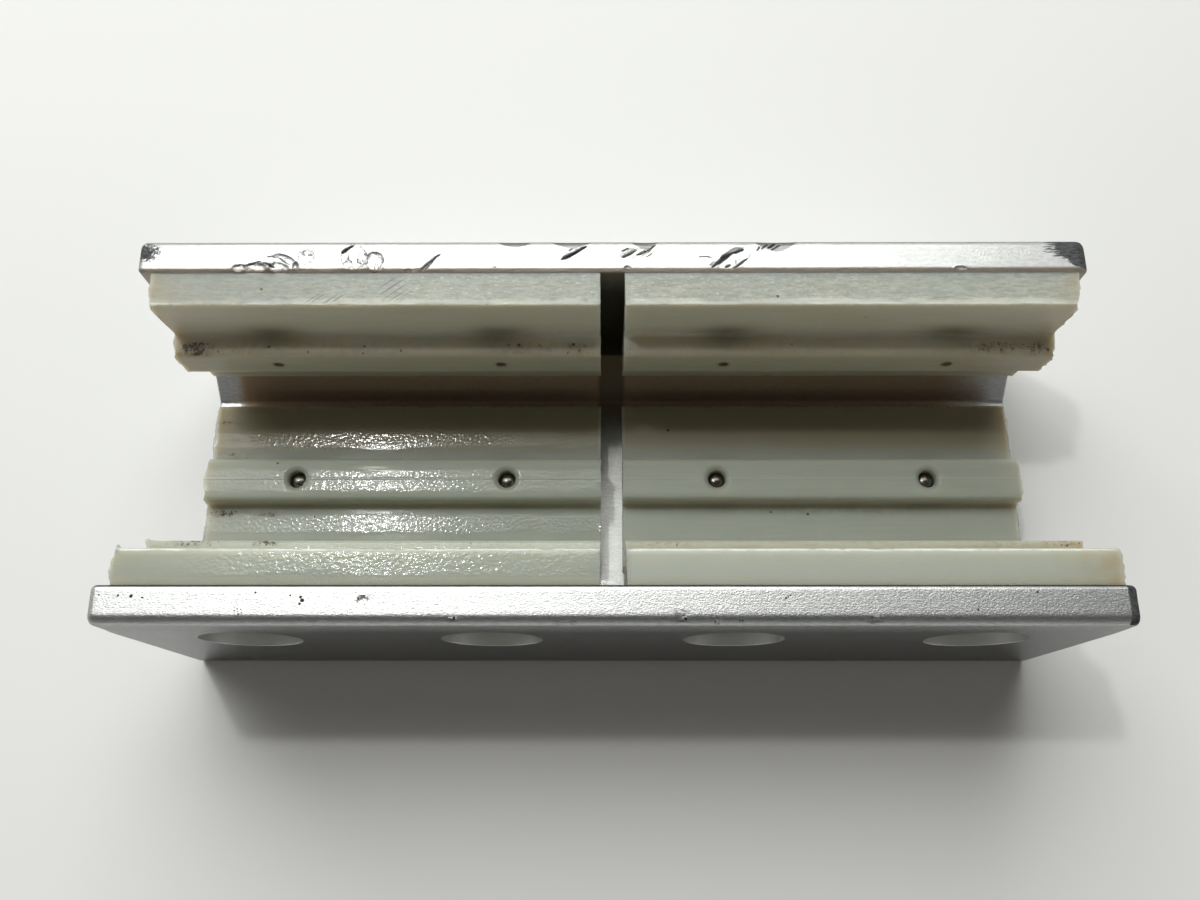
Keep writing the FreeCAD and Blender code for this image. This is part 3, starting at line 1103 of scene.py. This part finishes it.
def pin_steel():
    """Dark stained steel, brighter in patches."""
    g = Graph(bpy.data.materials.new("pin_steel"))
    place = g.place_mm()
    stain = g.noise(place, 1.6, 3.0, 0.6)
    return g.finish({
        "Base Color": g.blend(stain, (0.05, 0.045, 0.035), (0.22, 0.21, 0.19)),
        "Metallic": 1.0,
        "Roughness": g.ramp(stain, 0.3, 0.7, 0.16, 0.3),
        "Normal": g.bump(g.noise(place, 8.0, 2.0), 0.00002, 0.3),
    })


def floor_paint():
    g = Graph(bpy.data.materials.new("floor_paint"))
    shading = g.noise(g.place_mm(), 0.004, 2.0)
    paint = g.blend(shading, (0.93, 0.93, 0.93), (0.95, 0.95, 0.95))
    return g.finish({"Base Color": paint, "Roughness": 0.9, "Specular IOR Level": 0.1})


def dress(piece, material):
    piece.data.materials.clear()
    piece.data.materials.append(material)


# Wear, dirt and painted shade that the materials read
SLOPE_NUDGE = 0.12
# Dark end of the far arm's tip: x, y, half length, half width, strength
SCUFFED_CORNER = (-75.0, 28.6, 2.8, 2.2, 0.8)
INNER_EDGE_FADE = (seat_distance + 0.35, seat_distance + 0.85)


def mark_channel(channel):
    """Keeps the channel's wear, dirt and painted shade on its vertices."""
    points = points_of(channel)
    x, y, z = points.T
    depth, groove_shade, crumpled = tip_wear(points)
    slopes = []
    for nudge in np.eye(2, 3) * SLOPE_NUDGE:
        slopes.append(tip_wear(points + nudge)[0] - tip_wear(points - nudge)[0])
    slope = np.hypot(*slopes) / (2 * SLOPE_NUDGE)
    bitten = np.max([bite(points, *cut) for cut in FAR_BITES], axis=0)
    store(channel, {
        "scuff": scuffed_ends(x, y),
        "bare": np.clip(depth * 3, 0, 1),
        # Painted shade on the steep walls of dents and on the faces of the bites
        "cut": np.maximum(0.8 * rise(slope, 0.6, 1.8), 0.9 * rise(bitten, 0.004, 0.03)),
        # Painted shade in the slashes and the craters' cracks
        "groove_shade": groove_shade,
        # Where the crumpled craters get painted shade
        "crumpled": crumpled,
        # Painted brown shade on the far tip's inner edge and in the rear inside corner
        "brown_shade": painted_brown_shade(x, y, z),
        # Darkening, part dirt and part painted shade, in the gap and along the tips' inner edges
        "shade_and_grime": gap_shade_and_dirt(x, y, z),
        "bore": bore_walls(x, y, z),
        "outer": (np.abs(y) > body_high[1] - 0.05) * (z < tip_z - 2),
    })


def scuffed_ends(x, y):
    """Dark abraded metal at the ends of the arms' tips."""
    corner = ovals(x, y, [SCUFFED_CORNER])
    wedge = rise(x, 65.5 + 2.6 * np.clip(28.8 - y, 0, 3), 75.0) * rise(y, 25.2, 26.2)
    bevel = rise(x, body_high[0] - 2.3, body_high[0] - 1.5) * (y < 0)
    return np.clip(np.maximum(np.maximum(corner, wedge), bevel), 0, 1)


def painted_brown_shade(x, y, z):
    """Painted brown shade on the far tip's inner edge beside the pads, and in the rear inside corner.
    """
    inner_edge = fall(y, *INNER_EDGE_FADE) * rise(z, tip_z - 2.0, tip_z - 1.2) * (y > 0)
    corner = rise(y, 13.0, 15.0) * (y < seat_distance + 0.3)
    corner = corner * rise(z, web_face - 0.2, web_face) * (z < ridge_axis / 2 + 3)
    corner = corner * rise(x, -72.5, -70.5) * fall(x, 62.0, 75.0)
    return np.maximum(0.4 * inner_edge, 0.75 * corner)


def gap_shade_and_dirt(x, y, z):
    """Darkening, part dirt and part painted shade, where the gap between the pads shows the metal, and
    along the tips' inner edges.
    """
    in_gap = fall(np.abs(x), 2.0, 3.0)
    inside = (np.abs(y) < seat_distance + 0.1) * (z > web_face - 0.1)
    upright = rise(y, seat_distance - 0.3, seat_distance) * fall(z, 41.0, 44.5)
    floor = 0.3 + 0.4 * rise(y, -2.0, 7.0)
    beside_pad = rise(y, -seat_distance - 0.55, -seat_distance - 0.15) * (y < 0) * (z > tip_z - 4)
    far_edge = fall(y, *INNER_EDGE_FADE) * (y > 0) * (z > tip_z - 2)
    edges = np.maximum(beside_pad, 0.4 * far_edge)
    return np.maximum(in_gap * inside * np.maximum(upright, floor), edges)


def bore_walls(x, y, z):
    """The raw drilled walls of the holes."""
    from_hole = np.min([np.abs(x - place) for place in every_hole], axis=0)
    in_web = np.hypot(from_hole, y) + 40 * (z > web_face)
    distance = np.minimum(np.hypot(from_hole, z - ridge_axis), in_web)
    return fall(distance, HOLE_RADIUS + 0.01, HOLE_RADIUS + 0.03)


# Build the pieces
pieces = bpy.data.collections.new("pieces")


def finish_piece(piece, material, node):
    """Gives a piece its material and sets it in the place of a CAD node."""
    dress(piece, material)
    pieces.objects.link(piece)
    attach(piece, "root")
    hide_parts(node)


channel = make_channel()
mark_channel(channel)
shade(channel, sharp_angle=35)
finish_piece(channel, anodised_aluminium(), "channel_body")

steel = pin_steel()
for number, (side, end) in enumerate(itertools.product(SEATS, ENDS)):
    pad = make_pad(side, end, PAD_SEED + PAD_SEED_STEP * number)
    finish_piece(pad, slide_plastic((side, end)), f"{side}_pad_{end}")
    finish_piece(make_pins(side, end), steel, f"{side}_pins_{end}")


# Camera, light and floor
HORIZON_LEVEL = 0.9
FRONT_SHARE = 0.3
ZENITH_LEVEL = 0.22
FILL_LEVEL = 0.08
FRONT_FILL_LEVEL = 0.15
FILL_TINT = (1.0, 0.94, 0.82)
FLOOR_REACH = 3000.0
FLOOR_DROP = 0.05


def make_camera():
    camera = add_object("camera", bpy.data.cameras.new("camera"))
    matrix = Matrix.Translation(Vector(CAMERA_PLACE) * MM)
    for angle, axis in zip(CAMERA_TURNS, "XYZ"):
        matrix = matrix @ Matrix.Rotation(math.radians(angle), 4, axis)
    camera.matrix_world = matrix
    camera.data.sensor_width = SENSOR_WIDTH
    camera.data.lens = FOCAL_PIXELS * SENSOR_WIDTH / PHOTO_WIDTH
    camera.data.clip_start = NEAREST_SEEN
    bpy.context.scene.camera = camera


def make_lamp(name, place, width, depth, power, tint, aim=(0, 0, 0), spread=180, lights=None):
    """A soft panel with its beam aimed, kept to a spread and, if one is given, to a collection."""
    data = bpy.data.lights.new(name, "AREA")
    data.shape = "RECTANGLE"
    data.size = width * MM
    data.size_y = depth * MM
    data.energy = power
    data.color = tint
    data.spread = math.radians(spread)
    lamp = add_object(name, data)
    lamp.location = Vector(place) * MM
    lamp.rotation_mode = "QUATERNION"
    lamp.rotation_quaternion = (Vector(aim) * MM - lamp.location).to_track_quat("-Z", "Y")
    lamp.light_linking.receiver_collection = lights


def make_world():
    """Pale surroundings, dimmer overhead, that metal mirrors in full; little of them is fill light."""
    g = Graph(bpy.data.worlds.new("studio"))
    depth, up = g.split(g.add("TexCoord", {}).outputs["Generated"])[1:]
    overhead = g.ramp(up, 0.15, 0.7, HORIZON_LEVEL, ZENITH_LEVEL, "LINEAR")
    facing = g.ramp(depth, -0.6, 0.3, FRONT_SHARE, 1.0, "LINEAR")
    fill = g.ramp(depth, -0.9, -0.4, FRONT_FILL_LEVEL, FILL_LEVEL, "LINEAR")
    rays = g.add("LightPath", {}).outputs
    seen = g.most(g.most(rays["Is Camera Ray"], rays["Is Glossy Ray"]), rays["Is Transmission Ray"])
    bpy.context.scene.world = g.finish(
        {
            "Color": g.blend(seen, FILL_TINT, (1.0, 1.0, 1.0)),
            "Strength": g.mix(seen, fill, g.times(overhead, facing)),
        },
        "Background",
    )


def make_floor():
    sides = (-FLOOR_REACH, FLOOR_REACH)
    corners = list(itertools.product(sides, sides, [-FLOOR_DROP]))
    floor = make_object("floor", corners, [(0, 2, 3, 1)])
    dress(floor, floor_paint())


make_camera()
make_world()
make_floor()
make_lamp("sparkle_panel", (-225, 213, 840), 40, 47, 1.0, (1.0, 1.0, 1.0))
make_lamp("rear_panel", (-160, 585, 790), 1100, 850, 10.3, (0.98, 1.0, 0.96))
make_lamp("rear_pad_panel", (0, -258, 256), 170, 26, 0.003, (1.0, 0.95, 0.84), (0, 18, 52), 5, pieces)
bpy.context.scene.view_settings.view_transform = "Standard"
